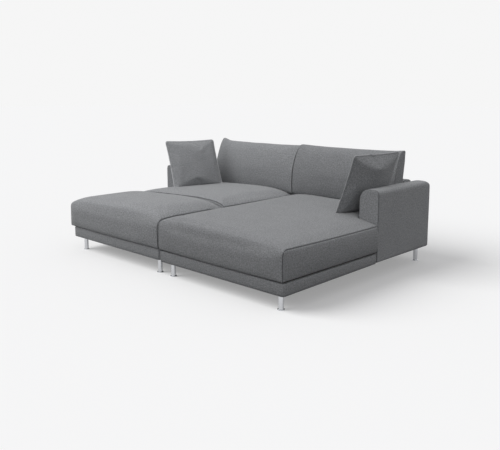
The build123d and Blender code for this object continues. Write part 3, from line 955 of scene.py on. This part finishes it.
def platform_outline(unit):
    """Plan corners of a platform, anticlockwise, read from the CAD nodes round it."""
    border = Span(f"{unit}_base_border")
    if unit == "ottoman":
        return [
            (border.left, border.front), (border.right, border.front),
            (border.right, border.rear), (border.left, border.rear),
        ]
    arm, back = Span(f"{unit}_arm_padding"), Span(f"{unit}_back_padding")
    front = [(border.left, border.front), (border.right, border.front)]
    if unit == "chaise":
        step = [(border.right, arm.front), (arm.left, arm.front), (arm.left, back.front)]
        return front + step + [(border.left, back.front)]
    step = [(arm.right, back.front), (arm.right, arm.front), (border.left, arm.front)]
    return front + [(border.right, back.front)] + step


def build_border(unit):
    """The padded border of a platform: cloth over board, with rounded corners and soft edges."""
    span = Span(f"{unit}_base_border")
    form = bmesh.new()
    form.faces.new([form.verts.new((x, y, span.bottom)) for x, y in platform_outline(unit)])
    bmesh.ops.bevel(
        form, geom=form.verts[:], offset=border_corner_radius, offset_type="OFFSET", affect="VERTICES",
        segments=border_corner_steps, profile=0.5, material=-1,
    )
    bmesh.ops.inset_region(
        form, faces=form.faces[:], thickness=border_thickness, use_even_offset=True, use_boundary=True,
    )
    middle = max(form.faces, key=lambda face: face.calc_area())
    bmesh.ops.delete(form, geom=[middle], context="FACES_ONLY")
    raise_slab(form, span.top - span.bottom)
    level = [
        edge for edge in form.edges
        if abs(edge.verts[0].co.z - edge.verts[1].co.z) < clearance
        and len(edge.link_faces) == 2
        and abs(edge.link_faces[0].normal.dot(edge.link_faces[1].normal)) < square_edge_cosine
    ]
    bmesh.ops.bevel(
        form, geom=level, offset=border_edge_radius, offset_type="OFFSET", affect="EDGES",
        segments=edge_steps, profile=0.5, material=-1,
    )
    lay_cloth(form)
    for vert in form.verts:
        share = clamp((vert.co.x - span.left) / (span.right - span.left))
        in_front = vert.co.y < span.front + border_thickness
        vert.co.z -= border_sag * arch(share) * in_front
        fade = clamp((border_drop_end - vert.co.y) / (border_drop_end - span.front))
        vert.co.z -= border_drop[unit] * (fade if vert.co.z < span.centre().z else 1)
        vert.co.x -= border_bulge[unit] * (vert.co.x < span.left + clearance)
    name, covered = f"{unit}_platform_border", [f"{unit}_base_border"]
    upholstered(name, form, unit_bodies[unit], covered, smooth=False)


for unit in unit_bodies:
    build_border(unit)


# Deck pads and dust covers


def form_of(node):
    """A welded form of a CAD node's own shape."""
    form = bmesh.new()
    form.from_mesh(nodes[node].data)
    bmesh.ops.remove_doubles(form, verts=form.verts, dist=weld_distance)
    bmesh.ops.dissolve_limit(form, angle_limit=flat_angle, verts=form.verts, edges=form.edges)
    return form


def build_deck_pad(unit):
    """The felt pad over the webbing, with softened edges."""
    form = form_of(f"{unit}_deck_pad")
    sharp = [edge for edge in form.edges if edge.calc_face_angle(0) > pad_edge_angle]
    bmesh.ops.bevel(
        form, geom=sharp, offset=pad_edge_radius, offset_type="OFFSET", affect="EDGES",
        segments=edge_steps, profile=0.5, material=-1, clamp_overlap=True,
    )
    covered = [f"{unit}_deck_pad"]
    piece = dressed(f"{unit}_seat_deck", form, felt, unit_bodies[unit], covered)


def build_dust_cover(unit):
    """The cloth stapled under the frame, cut out round the leg plates."""
    form = form_of(f"{unit}_dust_cover")
    area = sum(face.calc_area() for face in form.faces) / 2
    span = Span(f"{unit}_dust_cover")
    name, covered = f"{unit}_bottom_cloth", [f"{unit}_dust_cover"]
    piece = dressed(name, form, dust_cloth, unit_bodies[unit], covered)
    cut = (span.right - span.left, span.rear - span.front)


for unit in unit_bodies:
    build_deck_pad(unit)
    build_dust_cover(unit)


# Back cushions


def build_back_cushion(unit, name):
    """A back cushion: boxed ends, a full front that rolls back at the top, and raised end corners."""
    span = Span(f"{unit}_back_cushion_cover")
    panel = Span(f"{unit}_back_padding")
    rear = panel.front - clearance
    top = back_top[unit]
    bend = clamp((panel.top - span.bottom) / (top - span.bottom))
    front = rear - back_thickness_foot
    form = slab([span.left, span.right], [front, rear], span.bottom, top)
    divide(form, back_cloth_pitch)
    mark_seams(form, LEFT, RIGHT)
    way = 1 if unit == "chaise" else -1

    def thickness(rise, crown):
        full = math.sin(math.pi * rise)
        foot, end_fullness, taper = back_ends[unit]
        end = foot + end_fullness * full - taper * rise ** 2
        middle = back_thickness_foot + back_fullness * full - back_taper * rise ** 3
        return blend(crown, end, middle)

    def place(x, y, z):
        share = (x - span.left) / (span.right - span.left)
        outward = (2 * share - 1) * way
        crown = 1 - max(outward, 0.0) ** back_crown_power
        ear = clamp((outward - 1 + back_ear_share) / back_ear_share)
        rise = (z - span.bottom) / (top - span.bottom)
        ahead = (rear - y) / back_thickness_foot
        y, z = rounded(y, z, front, top, -1, 1, back_radius)
        y, z = rounded(y, z, front, span.bottom, -1, -1, back_foot_radius)
        y, z = rounded(y, z, rear, top, 1, 1, back_rear_radius)
        y, z = rounded(y, z, rear, span.bottom, 1, -1, back_rear_radius)
        y = rear - (rear - y) * thickness(rise, crown) / back_thickness_foot
        y += back_overhang * max(0.0, (rise - bend) / (1 - bend)) * (1 - ahead / 2)
        z += back_ear[unit] * rise * ear
        return x, y, z

    place_all(form, place)
    inflate(form, held_cloth(form), back_pressure, back_swell)
    ripple(form, back_unevenness, {TOP, FRONT}, len(name))
    limits = Span(f"{unit}_back_cushion_cover")
    limits.front -= back_swell
    keep_inside(form, limits)
    keep_above(form, surface_of(seat_pieces[unit]))
    crease_seams(form, cushion_seam)
    covered = (f"{unit}_back_cushion_cover", f"{unit}_back_cushion_core")
    return upholstered(name, form, name, covered)


back_cushions = {
    "chaise": build_back_cushion("chaise", "right_back_cushion"),
    "left": build_back_cushion("left", "left_back_cushion"),
}


# Throw pillows


def pillow_form():
    """Two square panels sewn together round their edge into a lip, and filled."""
    half = pillow_side / 2
    level = pillow_seam_thickness / 2
    form = slab([-half, half], [-half, half], -level, level)
    divide(form, pillow_pitch)
    shares = [(vert.co.x / half, vert.co.y / half) for vert in form.verts]
    inflate(form, [], pillow_pressure, pillow_furthest, pillow_frames, pillow_half_thickness)
    reach = pillow_finished_side / 2
    for vert, (u, v) in zip(form.verts, shares):
        x = reach * u * (1 - pillow_waist * (1 - v * v) * u * u)
        y = reach * v * (1 - pillow_waist * (1 - u * u) * v * v)
        edges = (math.copysign(reach, u), math.copysign(reach, v))
        ways = (math.copysign(1, u), math.copysign(1, v))
        vert.co.x, vert.co.y = rounded(x, y, *edges, *ways, pillow_ear_radius)
    lip_highlight_mask = form.verts.layers.float.new("seam")
    rim = [face for face in form.faces if face[form.faces.layers.int["side"]] < BOTTOM]
    lip = bmesh.ops.extrude_face_region(form, geom=rim)["geom"]
    bmesh.ops.delete(form, geom=rim, context="FACES_ONLY")
    form.normal_update()
    for vert in [item for item in lip if isinstance(item, bmesh.types.BMVert)]:
        vert.co += Vector((vert.co.x, vert.co.y, 0)).normalized() * pillow_lip
        vert.co.z *= pillow_lip_thinning
        # Marks the lip for the painted highlight
        vert[lip_highlight_mask] = -1
    return form


def build_pillow(name, unit, way, turn, lean):
    """A throw pillow on its seat cushion, leaning on its arm."""
    form = pillow_form()
    along = Vector((-way * math.sin(turn), math.cos(turn), 0))
    across = Vector((way * math.cos(turn), math.sin(turn), 0))
    up = across * math.sin(lean) + Vector((0, 0, math.cos(lean)))
    axes = Matrix((along, up, along.cross(up))).transposed().to_4x4()
    centre = Span(f"{name}_cover").centre() - Vector((0, 0, pillow_sink))
    form.transform(Matrix.Translation(centre) @ axes)
    bmesh.ops.recalc_face_normals(form, faces=form.faces)
    keep_above(form, surface_of(seat_pieces[unit]))
    keep_off(form, surface_of(arms[unit]))
    keep_off(form, surface_of(back_cushions[unit]))
    upholstered(f"{name}_piece", form, name, (f"{name}_cover", f"{name}_filling"))


build_pillow("right_pillow", "chaise", 1, right_pillow_turn, right_pillow_lean)
build_pillow("left_pillow", "left", -1, left_pillow_turn, left_pillow_lean)


# Floor, light and camera


def floor():
    """A pale floor that shows as the backdrop's level and throws back little light."""
    form = bmesh.new()
    bmesh.ops.create_grid(form, x_segments=2, y_segments=2, size=floor_reach)
    plane = new_piece("floor", form)
    plane.location.z = -floor_drop
    matt = {"Roughness": 1.0, "Specular IOR Level": 0.0, "Emission Strength": 1.0}
    finish = Finish("pale_floor", matt)
    rays = finish.node("ShaderNodeLightPath")
    seen = rays.socket.node.outputs
    shown = Value(finish, seen["Is Camera Ray"]).at_least(Value(finish, seen["Is Glossy Ray"]))
    shown = shown.at_least(Value(finish, seen["Is Transmission Ray"]))
    lit = (1 - floor_glow_share) * backdrop_level / open_floor_level()
    finish.drive("Base Color", finish.between(shown, [floor_bounce_level] * 3, [lit] * 3))
    glow = floor_glow_share * backdrop_level
    finish.drive("Emission Color", finish.between(shown, [0.0] * 3, [glow] * 3))
    plane.data.materials.append(finish.material)
    return plane


def open_floor_level():
    """Light on the open floor, as a share of what makes a white floor white."""
    return floor_sun_strength * Vector(floor_sun_place).normalized().z / math.pi + sky_level


def sky():
    """A sky that lights evenly, and shows as the backdrop's level."""
    world = bpy.data.worlds.new("studio")
    bpy.context.scene.world = world
    world.use_nodes = True
    tree = world.node_tree
    background = tree.nodes["Background"]
    background.inputs["Color"].default_value = (sky_level, sky_level, sky_level * sky_blue, 1)
    shown = tree.nodes.new("ShaderNodeBackground")
    shown.inputs["Color"].default_value = (backdrop_level, backdrop_level, backdrop_level, 1)
    rays = tree.nodes.new("ShaderNodeLightPath")
    either = tree.nodes.new("ShaderNodeMath")
    either.operation = "MAXIMUM"
    tree.links.new(rays.outputs["Is Camera Ray"], either.inputs[0])
    tree.links.new(rays.outputs["Is Glossy Ray"], either.inputs[1])
    mix = tree.nodes.new("ShaderNodeMixShader")
    tree.links.new(either.outputs[0], mix.inputs[0])
    tree.links.new(background.outputs[0], mix.inputs[1])
    tree.links.new(shown.outputs[0], mix.inputs[2])
    tree.links.new(mix.outputs[0], tree.nodes["World Output"].inputs["Surface"])


def lamp(name, kind, place, aim, floor_link, **settings):
    """A lamp that looks from a place to its aim, and lights only the floor or all but the floor."""
    light = bpy.data.lights.new(name, kind)
    for setting, given in settings.items():
        setattr(light, setting, given)
    holder = bpy.data.objects.new(name, light)
    holder.location = place
    holder.rotation_euler = (Vector(place) - Vector(aim)).to_track_quat("Z", "Y").to_euler()
    bpy.context.scene.collection.objects.link(holder)
    linked = bpy.data.collections.new(f"{name}_links")
    linked.objects.link(stage)
    linked.collection_objects[0].light_linking.link_state = floor_link
    holder.light_linking.receiver_collection = linked


def camera():
    """The photograph's own view."""
    lens = bpy.data.cameras.new("camera")
    lens.sensor_width = sensor_width_mm
    lens.lens = focal_length_in_pixels * sensor_width_mm / image_width
    lens.shift_y = (lens_row - image_middle_row) / image_width
    holder = bpy.data.objects.new("camera", lens)
    holder.location = camera_place
    holder.rotation_euler = (math.pi / 2 - camera_tilt, 0, camera_turn)
    bpy.context.scene.collection.objects.link(holder)
    bpy.context.scene.camera = holder


stage = floor()
sky()
origin = (0.0, 0.0, 0.0)
suns = {
    "overhead_softbox": (key_place, "EXCLUDE", key_strength, key_spread),
    "right_fill": (right_fill_place, "EXCLUDE", right_fill_strength, right_fill_spread),
    "floor_light": (floor_sun_place, "INCLUDE", floor_sun_strength, floor_sun_spread),
}
for name, (place, floor_link, strength, spread) in suns.items():
    lamp(name, "SUN", place, origin, floor_link, energy=strength, angle=spread)
lamp(
    "side_softbox", "AREA", side_lamp_place, side_lamp_aim, "EXCLUDE",
    energy=side_lamp_power, size=side_lamp_size,
)
camera()
bpy.context.scene.view_settings.view_transform = "Standard"
